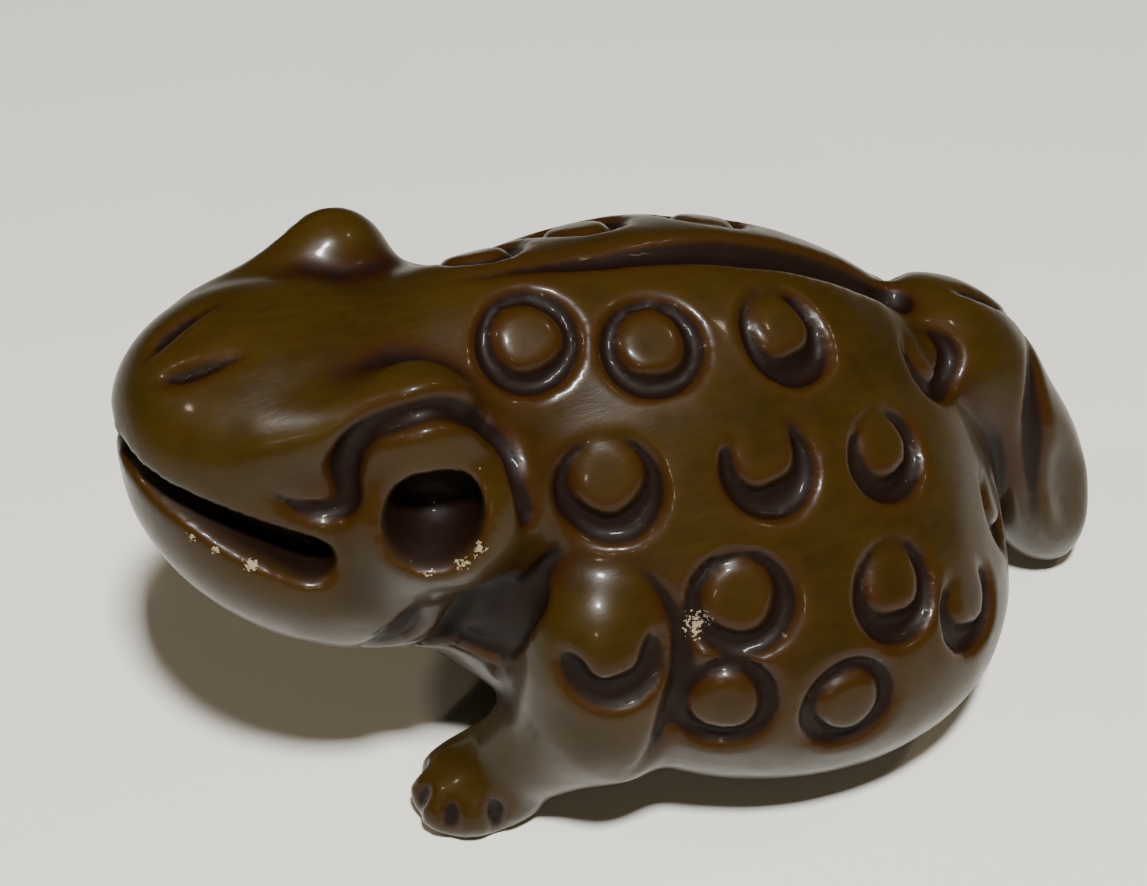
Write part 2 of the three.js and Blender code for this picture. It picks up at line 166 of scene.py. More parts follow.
# Gouge strokes on the left side, each with a twin on the right: guide points, width and depth in
# millimetres, how the stroke swells along its way, and how soft its walls are. A negative depth is a ridge.
STROKES = (
    # Fold from under the muzzle's corner, up and over the eye.
    (((0.118, -0.403, 0.458), (0.126, -0.382, 0.44), (0.133, -0.358, 0.431), (0.138, -0.337, 0.437),
      (0.128, -0.334, 0.462), (0.133, -0.326, 0.49), (0.142, -0.312, 0.513), (0.148, -0.287, 0.524),
      (0.15, -0.25, 0.525), (0.148, -0.222, 0.507), (0.135, -0.198, 0.472), (0.143, -0.188, 0.451),
      (0.167, -0.186, 0.431), (0.181, -0.183, 0.403)), 2.7, 1.15, "blunt", 0.6),
    # Ridge that the fold leaves standing behind the eye, and the muzzle's swollen corner.
    (((0.115, -0.235, 0.53), (0.105, -0.2, 0.49), (0.117, -0.175, 0.465), (0.14, -0.165, 0.44)),
     2.4, -0.5, "leaf", 1.0),
    (((0.112, -0.4, 0.492), (0.12, -0.376, 0.478), (0.126, -0.356, 0.452)), 4.4, -0.55, "blunt", 0.9),
    # Nostril.
    (((0.012, -0.466, 0.513), (0.03, -0.434, 0.53), (0.038, -0.382, 0.542)), 1.9, 0.75, "leaf", 0.7),
    # Creases that set the shoulder off from the body and from the neck.
    (((0.217, -0.092, 0.335), (0.238, -0.074, 0.305), (0.259, -0.07, 0.272), (0.274, -0.08, 0.232),
      (0.279, -0.1, 0.178), (0.265, -0.13, 0.13)), 3.2, 1.1, "leaf", 1.0),
    (((0.181, -0.15, 0.36), (0.178, -0.18, 0.32), (0.172, -0.2, 0.26), (0.15, -0.205, 0.18)),
     3.2, 1.2, "leaf", 1.0),
    # Knife facets and the deep nick where the throat meets the chest.
    (((0.178, -0.222, 0.335), (0.164, -0.24, 0.295), (0.148, -0.257, 0.25), (0.122, -0.277, 0.22)),
     2.6, 1.9, "leaf", 0.4),
    (((0.182, -0.19, 0.33), (0.17, -0.205, 0.285), (0.155, -0.22, 0.24)), 5.0, 0.9, "blunt", 0.2),
    (((0.174, -0.285, 0.32), (0.152, -0.303, 0.28), (0.122, -0.33, 0.25)), 3.4, 0.7, "leaf", 0.3),
    # Leaf-shaped facet down the side of the hind leg.
    (((0.03, 0.44, 0.318), (0.073, 0.41, 0.292), (0.099, 0.394, 0.25), (0.107, 0.392, 0.2),
      (0.105, 0.398, 0.14), (0.09, 0.41, 0.09)), 4.2, 0.9, "leaf", 0.8),
)

# Strokes down the middle: channel along the spine, whose width and depth are on the panel, crease of the
# hind leg and the nick that ends it.
MIDDLE_STROKES = (
    (((0, -0.19, 0.52), (0, 0.02, 0.5), (0, 0.17, 0.45), (0, 0.262, 0.37)), None, None, "spearhead", 0.6),
    (((0, 0.33, 0.37), (0, 0.375, 0.35), (0, 0.41, 0.315)), 1.8, 0.7, "leaf", 0.6),
    (((0, 0.412, 0.315), (0, 0.428, 0.29), (0, 0.44, 0.26)), 3.2, 1.1, "leaf", 0.5),
)

# Spots where the finish has chipped or pale grit has stayed in a cut: place and reach.
CHIPS = (
    ((0.198, -0.284, 0.386), 0.012), ((0.205, -0.259, 0.392), 0.017), ((0.204, -0.24, 0.403), 0.013),
    ((0.184, -0.24, 0.45), 0.011), ((0.176, -0.263, 0.464), 0.008), ((0.091, -0.464, 0.4), 0.009),
    ((0.108, -0.448, 0.394), 0.009), ((0.127, -0.423, 0.384), 0.012), ((0.255, -0.055, 0.285), 0.026),
    ((0.128, -0.29, 0.228), 0.012), ((0.13, -0.262, 0.205), 0.012), ((0.169, -0.225, 0.462), 0.006),
)

# Skin: how much coarser the first remesh is, and how close to the form a point counts as uncut.
ROUGH_CELLS = 4
UNCUT_REACH = 0.0012
UNCUT_FADE = 0.003

# Unevenness left by knife and sandpaper: height in shares of the length, and waves per length.
BROAD_WORK, BROAD_WAVES = 0.0016, 9
FINE_WORK, FINE_WAVES = 0.0007, 26

# Rounds of relaxing that show narrow hollows, show wide ones and spread the stain round them.
CLOSE_ROUNDS = 12
WIDE_ROUNDS = 90
HALO_ROUNDS = 40
MM_PER_METRE = 1000

# Waves per metre along X, Y and Z of the wood's patterns.
PORE_WAVES = (3600, 620, 3600)
PATCH_WAVES = (150, 90, 150)
STREAK_WAVES = (1100, 200, 1100)
RIPPLE_WAVES = (700, 420, 700)
CLOUD_WAVES = (420, 420, 420)
GRIT_WAVES = (3600, 3600, 3600)
NOISE_ROUGHNESS = 0.55


class ToadSizes(bpy.types.PropertyGroup):
    """Sizes of the carving."""

    length: bpy.props.FloatProperty(
        name="Length", description="Upper lip to the back of the hind leg", default=0.08, unit="LENGTH")
    skin_cell: bpy.props.FloatProperty(
        name="Skin cell", description="Edge length of the carved skin's facets", default=0.00042,
        unit="LENGTH", precision=5)
    wart_diameter: bpy.props.FloatProperty(
        name="Wart diameter", description="Outer edge of a ring groove", default=0.0083, unit="LENGTH")
    wart_disc: bpy.props.FloatProperty(
        name="Wart disc", description="Boss that a ring leaves standing", default=0.0046, unit="LENGTH")
    wart_depth: bpy.props.FloatProperty(
        name="Wart depth", description="Ring groove at its deepest", default=0.00115, unit="LENGTH")
    eye_bore: bpy.props.FloatProperty(
        name="Eye bore", description="Diameter of the drilled eye socket", default=0.0072, unit="LENGTH")
    eye_depth: bpy.props.FloatProperty(
        name="Eye depth", description="Depth of the drilled eye socket", default=0.006, unit="LENGTH")
    mouth_gape: bpy.props.FloatProperty(
        name="Mouth gape", description="Height of the mouth slot at its corners", default=0.0036,
        unit="LENGTH")
    mouth_depth: bpy.props.FloatProperty(
        name="Mouth depth", description="Depth of the mouth slot", default=0.004, unit="LENGTH")
    spine_width: bpy.props.FloatProperty(
        name="Spine width", description="Channel along the back at its widest", default=0.0047, unit="LENGTH")
    spine_depth: bpy.props.FloatProperty(
        name="Spine depth", description="Channel along the back at its deepest", default=0.0015,
        unit="LENGTH")


class WoodFinish(bpy.types.PropertyGroup):
    """Colours of the stained and lacquered wood."""

    wood: bpy.props.FloatVectorProperty(
        name="Wood", description="Olive-brown of the raised surfaces", subtype="COLOR", size=3,
        min=0, max=1, default=(0.029, 0.0165, 0.0018))
    warm: bpy.props.FloatVectorProperty(
        name="Warm brown", description="Redder brown of the mottling and of the recess edges",
        subtype="COLOR", size=3, min=0, max=1, default=(0.024, 0.0065, 0.0015))
    stain: bpy.props.FloatVectorProperty(
        name="Stain", description="Near-black stain left in the recesses", subtype="COLOR", size=3,
        min=0, max=1, default=(0.0072, 0.0024, 0.001))
    chip: bpy.props.FloatVectorProperty(
        name="Chipped wood", description="Pale specks round the sockets and grooves", subtype="COLOR", size=3,
        min=0, max=1, default=(0.24, 0.19, 0.12))


class StageLook(bpy.types.PropertyGroup):
    """Floor and lights."""

    floor: bpy.props.FloatVectorProperty(
        name="Floor", description="Colour of the pale floor", subtype="COLOR", size=3, min=0, max=1,
        default=(0.8, 0.79, 0.72))
    key_power: bpy.props.FloatProperty(
        name="Key light", description="Power of the overhead light", default=5.0, unit="POWER")
    fill_power: bpy.props.FloatProperty(
        name="Fill light", description="Power of the light behind the camera", default=0.24, unit="POWER")
    ambient: bpy.props.FloatProperty(
        name="Ambient", description="Brightness of the surrounding room", default=0.016)


def ellipsoid_distance(p, lobe):
    """Signed distance from points to one lobe, close to exact near its skin."""
    centre, radii, pitch, yaw = lobe
    cp, sp = math.cos(math.radians(pitch)), math.sin(math.radians(pitch))
    cy, sy = math.cos(math.radians(yaw)), math.sin(math.radians(yaw))
    d = p - np.array(centre)
    u = d[:, 0] * cy + d[:, 1] * sy
    turned = -d[:, 0] * sy + d[:, 1] * cy
    v = turned * cp + d[:, 2] * sp
    w = -turned * sp + d[:, 2] * cp
    local = np.stack([u, v, w], 1)
    near = np.linalg.norm(local / np.array(radii), axis=1)
    slope = np.linalg.norm(local / np.array(radii) ** 2, axis=1) + 1e-9
    return near * (near - 1) / slope


def bar_distance(p, bar):
    """Signed distance from points to a round bar with a radius that changes along it."""
    start, end, start_radius, end_radius = bar
    axis = np.array(end) - np.array(start)
    d = p - np.array(start)
    t = np.clip(d @ axis / (axis @ axis), 0, 1)
    return np.linalg.norm(d - t[:, None] * axis, axis=1) - (start_radius + (end_radius - start_radius) * t)


def blend(a, b, width):
    """Smooth union of two distances, which fills the crease between them over the given width."""
    t = np.clip(0.5 + 0.5 * (b - a) / width, 0, 1)
    return b + (a - b) * t - width * t * (1 - t)


def form(p):
    """Signed distance to the toad before it is carved, in shares of its length."""
    m = np.stack([np.abs(p[:, 0]), p[:, 1], p[:, 2]], 1)
    d = {name: ellipsoid_distance(m, lobe) for name, lobe in LOBES.items()}
    bar = {name: bar_distance(m, values) for name, values in BARS.items()}
    width = BLENDS
    back = blend(d["torso"], d["ridge"], width["ridge"])
    body = blend(blend(back, d["haunch"], width["haunch"]), d["nape"], width["nape"])
    muzzle = blend(blend(d["skull"], d["snout"], width["snout"]), d["jaw"], width["jaw"])
    eyes = blend(d["eye_mound"], bar["brow"], width["brow"])
    head = blend(blend(muzzle, d["cheek"], width["cheek"]), eyes, width["eyes"])
    front_leg = blend(blend(d["shoulder"], bar["arm"], width["arm"]), d["foot"], width["foot"])
    leg = blend(d["thigh"], d["shin"], width["shin"])
    hind_leg = -blend(-leg, ellipsoid_distance(m, HOLLOW), width["hollow"])
    whole = blend(blend(body, head, width["head"]), front_leg, width["front_leg"])
    return blend(whole, hind_leg, width["hind_leg"])


def outward(p):
    """Unit outward direction of the form's skin at points near it."""
    step = 0.002
    slopes = [form(p + step * axis) - form(p - step * axis) for axis in np.eye(3)]
    slopes = np.stack(slopes, 1)
    return slopes / (np.linalg.norm(slopes, axis=1, keepdims=True) + 1e-12)


def onto_skin(p, rounds=3, reach=0.04):
    """Moves points onto the form's skin, each round by no more than the reach."""
    p = np.array(p, float)
    for _ in range(rounds):
        p -= outward(p) * np.clip(form(p), -reach, reach)[:, None]
    return p


def smoothstep(x):
    """Rise from 0 to 1 that starts and ends softly."""
    x = np.clip(x, 0, 1)
    return x * x * (3 - 2 * x)


def smooth_curve(guides, count):
    """Points along a Catmull-Rom curve through the guide points."""
    g = np.array(guides, float)
    g = np.vstack([2 * g[0] - g[1], g, 2 * g[-1] - g[-2]])
    spots = np.linspace(0, len(guides) - 1 - 1e-9, count)
    out = []
    for s in spots:
        i = int(s)
        t = s - i
        a, b, c, d = g[i:i + 4]
        out.append(0.5 * (2 * b + (c - a) * t + (2 * a - 5 * b + 4 * c - d) * t**2
                          + (3 * b - a - 3 * c + d) * t**3))
    return np.array(out)


def stroke_depth(p, guides, width, depth, profile, edge, count):
    """Depth of a gouge stroke at each point: widths and depths follow the profile along the stroke."""
    path = onto_skin(smooth_curve(guides, count))
    scale = np.array([profile(t) for t in np.linspace(0, 1, count)])
    lowest, highest = path.min(0) - width, path.max(0) + width
    near = np.all((p > lowest) & (p < highest), axis=1)
    result = np.zeros(len(p))
    if not near.any():
        return result
    gaps = np.linalg.norm(p[near][:, None, :] - path[None], axis=2)
    share = gaps / (0.5 * width * scale[None])
    best = share.argmin(1)
    across = share[np.arange(len(best)), best]
    result[near] = depth * scale[best] * smoothstep((1 - across) / edge)
    return result


def leaf(t):
    """Stroke that swells to its middle and narrows again."""
    return 0.25 + 0.75 * math.sin(math.pi * t)


def blunt(t):
    """Stroke that starts thin and then keeps its width."""
    return min(1, 0.3 + 3 * t)


def spearhead(t):
    """Stroke that widens slowly from a point."""
    return min(1, 0.15 + 1.8 * t)


def grin(t):
    """Stroke that is widest at its two ends."""
    return 0.5 + 0.5 * abs(2 * t - 1) ** 0.8


PROFILES = {"leaf": leaf, "blunt": blunt, "spearhead": spearhead}


def mirrored(guides, side):
    """The guide points, or their mirror image where the side is -1."""
    return [(side * x, y, z) for x, y, z in guides]


def mouth_cut(p, out, sizes):
    """Moves for the mouth slot, which follows the lip line from corner to corner."""
    half = list(LIP_LINE)
    lips = half + [LIP_MIDDLE] + mirrored(half, -1)[::-1]
    gape, depth = sizes.mouth_gape / sizes.length, sizes.mouth_depth / sizes.length
    return -out * stroke_depth(p, lips, gape, depth, grin, edge=0.4, count=90)[:, None]


def socket_cut(p, sizes, side):
    """Moves for the drilled eye socket of one side, with soft walls and a dished floor."""
    axis = np.array((side * EYE_AXIS.x, EYE_AXIS.y, EYE_AXIS.z))
    opening = onto_skin(mirrored([EYE_OPENING], side))[0]
    d = p - opening
    along = d @ axis
    radius = np.linalg.norm(d - along[:, None] * axis, axis=1) * sizes.length / (0.5 * sizes.eye_bore)
    inside = smoothstep((1 - radius) / EYE_WALL) * (np.abs(along) < EYE_REACH)
    floor = -sizes.eye_depth / sizes.length * (1 - EYE_DISH * radius**2)
    return (inside * (floor - along))[:, None] * axis


def toe_cuts(p, out, length, side):
    """Moves for the slits between the toes of one front foot."""
    centre, radii = LOBES["foot"][:2]
    move = np.zeros_like(p)
    for turn in TOE_TURNS:
        ahead, aside = math.cos(math.radians(turn)), math.sin(math.radians(turn))
        slit = [(centre[0] + radii[0] * aside * share, centre[1] - radii[1] * ahead * share,
                 centre[2] + radii[2] * math.sqrt(max(0, 1 - share * share)) - drop)
                for share, drop in TOE_SLIT]
        depth = stroke_depth(
            p, mirrored(slit, side), TOE_WIDTH / length, TOE_DEPTH / length, leaf, edge=0.8, count=24)
        move -= out * depth[:, None]
    return move


def deep_cuts(p, sizes):
    """Moves for the mouth slot, the eye sockets and the toe slits, which are as deep as they are wide."""
    out = outward(p)
    move = mouth_cut(p, out, sizes)
    for side in (1, -1):
        move += socket_cut(p, sizes, side)
        move += toe_cuts(p, out, sizes.length, side)
    return move


def wart_centre(place, angle):
    """Centre of a wart on the skin, found by going out from the body's axis."""
    way = np.array((math.sin(math.radians(angle)), 0, math.cos(math.radians(angle))))
    steps = np.arange(0, 0.5, 0.002)
    line = np.array((0, place, BODY_AXIS_HEIGHT)) + steps[:, None] * way
    first_out = int(np.argmax(form(line) > 0))
    return onto_skin(line[first_out:first_out + 1])[0]


def wart_axes(centre, side, turn):
    """Unit directions across and up the flank at a wart."""
    up = outward(centre[None])[0]
    uphill = np.array((-side * UPHILL_LEAN, turn, 1.0))
    uphill -= up * (uphill @ up)
    uphill /= np.linalg.norm(uphill)
    return np.cross(up, uphill), uphill


def ring_depth(a, b, wart, whim, sizes):
    """Depth of one ring groove at places across and up from its middle, and the rounding of its boss."""
    size, lift, opening = wart
    turn = np.arctan2(a, b)
    oval = 1 + RIM_WAVER * np.cos(2 * turn + 6 * whim[2])
    lobed = 1 + BOSS_WAVER * np.cos(3 * turn + 6 * whim[3])
    outer = 0.5 * size * sizes.wart_diameter / sizes.length * oval
    inner = 0.5 * size * sizes.wart_disc / sizes.length * lobed
    from_rim = outer - np.hypot(a, b)
    boss = np.hypot(a, b - lift * (outer - inner))
    from_boss = boss - inner
    outer_wall = smoothstep(from_rim / RIM_WALL)
    cut = outer_wall * smoothstep(from_boss / BOSS_WALL)
    room = np.clip((from_rim + from_boss) / (1.5 * (outer - inner)), 0, 1)
    fade = 1 - smoothstep((np.cos(turn) - 1.2 * (1 - opening)) / 0.35)
    near_rim = smoothstep(1 - from_rim / CHATTER_REACH)
    chatter = 1 + CHATTER * np.sin(turn * CHATTER_CUTS + 9 * whim[0]) * near_rim
    groove = cut * chatter * (0.45 + 0.55 * room) * sizes.wart_depth / sizes.length
    dome = BOSS_ROUNDING * smoothstep((boss / inner - 0.7) / 0.3) * outer_wall
    return fade * (groove + dome)


def wart_depths(p, sizes):
    """Depth of every ring groove at each point: crescents, widest and deepest down the flank."""
    depth = np.zeros(len(p))
    for side in (1, -1):
        for number, (place, angle, *wart) in enumerate(WARTS):
            whim = [noise.noise(Vector((number * 3.7 + k, side * 5.1, 0.5))) for k in range(4)]
            centre = wart_centre(place + WART_WANDER * whim[0], side * angle)
            across, uphill = wart_axes(centre, side, WART_TURN * whim[1])
            d = p - centre
            near = np.linalg.norm(d, axis=1) < WART_REACH
            ring = ring_depth(d[near] @ across, d[near] @ uphill, wart, whim, sizes)
            depth[near] = np.maximum(depth[near], ring)
    return depth


def shallow_depths(p, sizes):
    """Depth of the spine channel, the folds and creases at each point; ridges count as negative."""
    length = sizes.length
    mm = 0.001 / length
    channel = (sizes.spine_width / length, sizes.spine_depth / length)
    depth = np.zeros(len(p))
    ridge = np.zeros(len(p))
    for guides, width, cut, profile, edge in MIDDLE_STROKES:
        size = (width * mm, cut * mm) if width else channel
        depth = np.maximum(depth, stroke_depth(p, guides, *size, PROFILES[profile], edge, count=90))
    for guides, width, cut, profile, edge in STROKES:
        for side in (1, -1):
            stroke = stroke_depth(
                p, mirrored(guides, side), width * mm, cut * mm, PROFILES[profile], edge, count=80)
            depth = np.maximum(depth, stroke)
            ridge = np.minimum(ridge, stroke)
    return depth + ridge


def hand_work(p):
    """Small unevenness that knife and sandpaper leave, in shares of the length."""
    spots = [Vector(q) for q in p]
    apart = Vector((3, 1, 7))
    broad = np.array([noise.noise(q * BROAD_WAVES) for q in spots])
    fine = np.array([noise.noise(q * FINE_WAVES + apart) for q in spots])
    return BROAD_WORK * broad + FINE_WORK * fine


def rough_block(length):
    """Overlapping lobes and bars in one bmesh, before they become one skin."""
    bm = bmesh.new()
    scale = Matrix.Scale(length, 4)
    for name, (centre, radii, pitch, yaw) in LOBES.items():
        for side in (1, -1) if name in PAIRED else (1,):
            place = (Matrix.Translation((side * centre[0], centre[1], centre[2]))
                     @ Matrix.Rotation(math.radians(side * yaw), 4, "Z")
                     @ Matrix.Rotation(math.radians(pitch), 4, "X") @ Matrix.Diagonal((*radii, 1)))
            bmesh.ops.create_icosphere(bm, subdivisions=4, radius=1, matrix=scale @ place)
    for start, end, start_radius, end_radius in BARS.values():
        for side in (1, -1):
            for step in range(BAR_STEPS + 1):
                t = step / BAR_STEPS
                spot = Vector(start).lerp(Vector(end), t)
                spot.x *= side
                radius = start_radius + (end_radius - start_radius) * t
                bmesh.ops.create_icosphere(
                    bm, subdivisions=3, radius=radius, matrix=scale @ Matrix.Translation(spot))
    return bm


def remeshed(mesh, cell):
    """The mesh as one even skin of quads of about the given edge length."""
    obj = bpy.data.objects.new("remesh", mesh)
    bpy.context.scene.collection.objects.link(obj)
    modifier = obj.modifiers.new("Skin", "REMESH")
    modifier.mode = "VOXEL"
    modifier.voxel_size = cell
    modifier.use_smooth_shade = True
    evaluated = obj.evaluated_get(bpy.context.evaluated_depsgraph_get())
    result = bpy.data.meshes.new_from_object(evaluated)
    bpy.data.objects.remove(obj)
    bpy.data.meshes.remove(mesh)
    return result


def points_of(mesh):
    """Places of the mesh's vertices, one row each."""
    co = np.zeros(len(mesh.vertices) * 3)
    mesh.vertices.foreach_get("co", co)
    return co.reshape(-1, 3)


def set_points(mesh, co):
    """Moves the mesh's vertices to the given places."""
    mesh.vertices.foreach_set("co", np.ascontiguousarray(co).ravel())
    mesh.update()


def edges_of(mesh):
    """Numbers of the two vertices at the ends of each edge, one row each."""
    pairs = np.zeros(len(mesh.edges) * 2, int)
    mesh.edges.foreach_get("vertices", pairs)
    return pairs.reshape(-1, 2)


def relaxed(co, pairs, rounds):
    """Points after some rounds in which each moves halfway to the middle of its neighbours."""
    counts = np.bincount(pairs.ravel(), minlength=len(co))[:, None]
    co = co.copy()
    for _ in range(rounds):
        total = np.zeros_like(co)
        for axis in range(co.shape[1]):
            total[:, axis] = np.bincount(pairs[:, 0], co[pairs[:, 1], axis], len(co))
            total[:, axis] += np.bincount(pairs[:, 1], co[pairs[:, 0], axis], len(co))
        co += 0.5 * (total / np.maximum(counts, 1) - co)
    return co


def vertex_normals(mesh):
    """Unit direction out of the mesh at each vertex, one row each."""
    normals = np.zeros(len(mesh.vertices) * 3)
    mesh.vertices.foreach_get("normal", normals)
    return normals.reshape(-1, 3)


def add_attribute(mesh, name, values):
    """Keeps one value with each vertex under a name that the material can read."""
    attribute = mesh.attributes.new(name, "FLOAT", "POINT")
    attribute.data.foreach_set("value", values.astype(np.float32))


def carve_toad(sizes):
    """The finished skin as a mesh, with its stain, its wear and its painted edge highlight kept as vertex
    attributes.
    """
    length = sizes.length
    bm = rough_block(length)
    mesh = bpy.data.meshes.new("block")
    bm.to_mesh(mesh)
    bm.free()
    mesh = remeshed(mesh, ROUGH_CELLS * sizes.skin_cell)
    set_points(mesh, onto_skin(points_of(mesh) / length, rounds=5) * length)
    mesh = remeshed(mesh, sizes.skin_cell)
    p = onto_skin(points_of(mesh) / length, rounds=2)
    set_points(mesh, (p + deep_cuts(p, sizes)) * length)
    mesh = remeshed(mesh, sizes.skin_cell)
    p = relaxed(points_of(mesh), edges_of(mesh), rounds=3) / length
    distance = form(p)
    skin = smoothstep(1 - (np.abs(distance) - UNCUT_REACH) / UNCUT_FADE)
    p -= outward(p) * (skin * distance)[:, None]
    depth = skin * np.maximum(wart_depths(p, sizes), shallow_depths(p, sizes))
    p -= outward(p) * (depth - skin * hand_work(p))[:, None]
    set_points(mesh, p * length)
    mesh = remeshed(mesh, sizes.skin_cell)
    pairs = edges_of(mesh)
    co = relaxed(points_of(mesh), pairs, rounds=2)
    co[:, 2] = np.maximum(co[:, 2], 0)
    set_points(mesh, co)
    stain_wear_and_edge_highlight(mesh, pairs, sizes)
    fit_to_solid(mesh)
    return mesh


def stain_wear_and_edge_highlight(mesh, pairs, sizes):
    """Keeps with each point how deep it lies, how near a recess or an edge it is, and where it is chipped;
    the edge value is painted as a highlight.
    """
    co = points_of(mesh)
    normals = vertex_normals(mesh)
    below = -form(co / sizes.length) * sizes.length * MM_PER_METRE
    close = ((relaxed(co, pairs, CLOSE_ROUNDS) - co) * normals).sum(1) * MM_PER_METRE
    wide = ((relaxed(co, pairs, WIDE_ROUNDS) - co) * normals).sum(1) * MM_PER_METRE
    cavity = np.clip(close / 0.12, 0, 1) + 0.6 * np.clip(wide / 0.6, 0, 1)
    stain = np.clip(0.55 * cavity + smoothstep((below - 0.2) / 0.7), 0, 1)
    halo = relaxed(stain[:, None], pairs, HALO_ROUNDS)[:, 0]
    # Convex edges, which the material paints paler: a painted highlight that also stands for worn edges.
    edge = np.clip(-close / 0.05 - 0.3, 0, 1)
    chip = np.zeros(len(co))
    for spot, reach in CHIPS:
        chip = np.maximum(chip, 1 - np.linalg.norm(co / sizes.length - np.array(spot), axis=1) / reach)
    add_attribute(mesh, "stain", stain)
    add_attribute(mesh, "halo", np.clip(1.7 * halo, 0, 1))
    add_attribute(mesh, "edge", relaxed(edge[:, None], pairs, rounds=2)[:, 0])
    add_attribute(mesh, "chip", chip)


def fit_to_solid(mesh):
    """Sets the skin into the solid's own box, with the same scale all over."""
    low, high = (np.array(corner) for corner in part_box(NODE))
    co = points_of(mesh)
    span = co.max(0) - co.min(0)
    scale = ((high - low) / span).min()
    middle = (co.max(0) + co.min(0)) / 2
    middle[2] = co[:, 2].min()
    target = (low + high) / 2
    target[2] = low[2]
    set_points(mesh, (co - middle) * scale + target)


def new_group(name, inputs, outputs):
    """An empty shader node group with the named sockets, and its input and output nodes."""
    group = bpy.data.node_groups.new(name, "ShaderNodeTree")
    for label, kind, default in inputs:
        socket = group.interface.new_socket(name=label, in_out="INPUT", socket_type=kind)
        socket.default_value = default
    for label, kind in outputs:
        group.interface.new_socket(name=label, in_out="OUTPUT", socket_type=kind)
    return group, group.nodes.new("NodeGroupInput"), group.nodes.new("NodeGroupOutput")


def add_node(tree, kind, **values):
    """A node with its properties set."""
    node = tree.nodes.new(kind)
    for key, value in values.items():
        setattr(node, key, value)
    return node


def noise_value(tree, coordinates, waves, detail):
    """The value of a noise pattern with its own number of waves per metre along each axis."""
    mapping = add_node(tree, "ShaderNodeMapping")
    mapping.inputs["Scale"].default_value = waves
    tree.links.new(coordinates, mapping.inputs["Vector"])
    texture = add_node(tree, "ShaderNodeTexNoise")
    texture.inputs["Scale"].default_value = 1.0
    texture.inputs["Detail"].default_value = detail
    texture.inputs["Roughness"].default_value = NOISE_ROUGHNESS
    tree.links.new(mapping.outputs["Vector"], texture.inputs["Vector"])
    return texture.outputs["Fac"]


def spread(tree, value, low, high, to_low=0.0, to_high=1.0):
    """A value stretched from one range to another, and held inside it."""
    node = add_node(tree, "ShaderNodeMapRange", clamp=True)
    for number, amount in enumerate((low, high, to_low, to_high), 1):
        node.inputs[number].default_value = amount
    tree.links.new(value, node.inputs[0])
    return node.outputs[0]


def math_value(tree, operation, first, second):
    """The result of one operation on two values; a value is a socket or a number."""
    node = add_node(tree, "ShaderNodeMath", operation=operation)
    for number, value in enumerate((first, second)):
        if isinstance(value, (int, float)):
            node.inputs[number].default_value = value
        else:
            tree.links.new(value, node.inputs[number])
    return node.outputs[0]


def scaled(tree, value, factor):
    """A value times a number."""
    return math_value(tree, "MULTIPLY", value, factor)


def plus(tree, first, second):
    """The sum of two values."""
    return math_value(tree, "ADD", first, second)


def mixed(tree, factor, first, second):
    """A mix of two colours; a colour is a socket or three numbers."""
    node = add_node(tree, "ShaderNodeMix", data_type="RGBA")
    for number, value in ((6, first), (7, second)):
        if isinstance(value, bpy.types.NodeSocket):
            tree.links.new(value, node.inputs[number])
        else:
            node.inputs[number].default_value = (*value, 1)
    tree.links.new(factor, node.inputs[0])
    return node.outputs[2]


def grain_group():
    """Short dark pores along the length, broader mottling and the height of both."""
    group, start, end = new_group(
        "Fine wood grain", [("Vector", "NodeSocketVector", (0, 0, 0))],
        [("Pores", "NodeSocketFloat"), ("Mottle", "NodeSocketFloat"), ("Height", "NodeSocketFloat")])
    vector = start.outputs["Vector"]
    pores = spread(group, noise_value(group, vector, PORE_WAVES, detail=2), 0.50, 0.68)
    patches = noise_value(group, vector, PATCH_WAVES, detail=4)
    streaks = noise_value(group, vector, STREAK_WAVES, detail=3)
    mottle = spread(group, plus(group, patches, scaled(group, streaks, 0.5)), 0.6, 0.95)
    ripple = noise_value(group, vector, RIPPLE_WAVES, detail=2)
    height = math_value(group, "SUBTRACT", scaled(group, ripple, 0.8), scaled(group, pores, 0.35))
    group.links.new(pores, end.inputs["Pores"])
    group.links.new(mottle, end.inputs["Mottle"])
    group.links.new(height, end.inputs["Height"])
    return group


